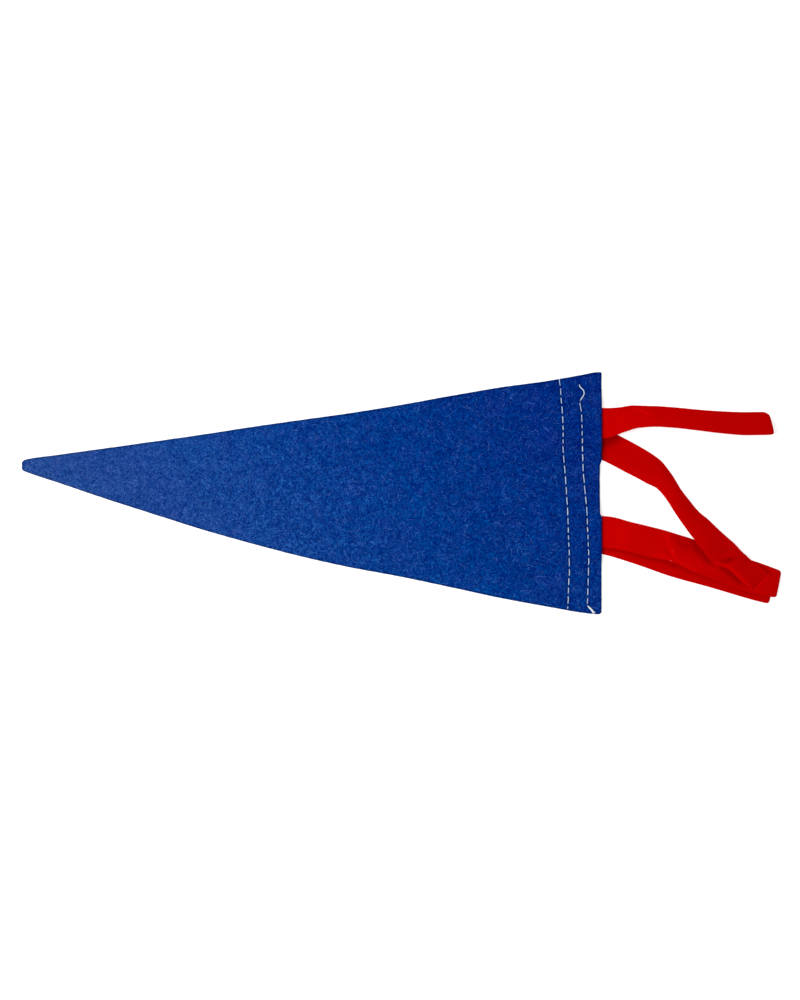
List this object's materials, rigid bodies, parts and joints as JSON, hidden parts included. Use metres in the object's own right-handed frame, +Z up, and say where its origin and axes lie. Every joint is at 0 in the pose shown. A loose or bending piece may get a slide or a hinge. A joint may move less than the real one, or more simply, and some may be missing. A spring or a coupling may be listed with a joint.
{
  "type": "pennant flag",
  "caption": "Long triangular felt pennant lying plain side up, with folded cloth tape ties coming out from under its wide end.",
  "frame": {"origin": "on the floor, under the middle of the whole flag's outline", "axes": "+X from the blunt tip towards the heading and the ties' ends, +Y up the heading, +Z up off the floor"},
  "size_m": [0.3992, 0.1274, 0.0104],
  "materials": {
    "felt": "matte pressed felt, royal blue with pale mixed fibres",
    "tape": "matte woven tape, bright red",
    "thread": "white sewing thread"
  },
  "bodies": {
    "root": {"felt_pennant": "felt", "upper_tie": "tape", "lower_tie": "tape"}
  },
  "joints": []
}
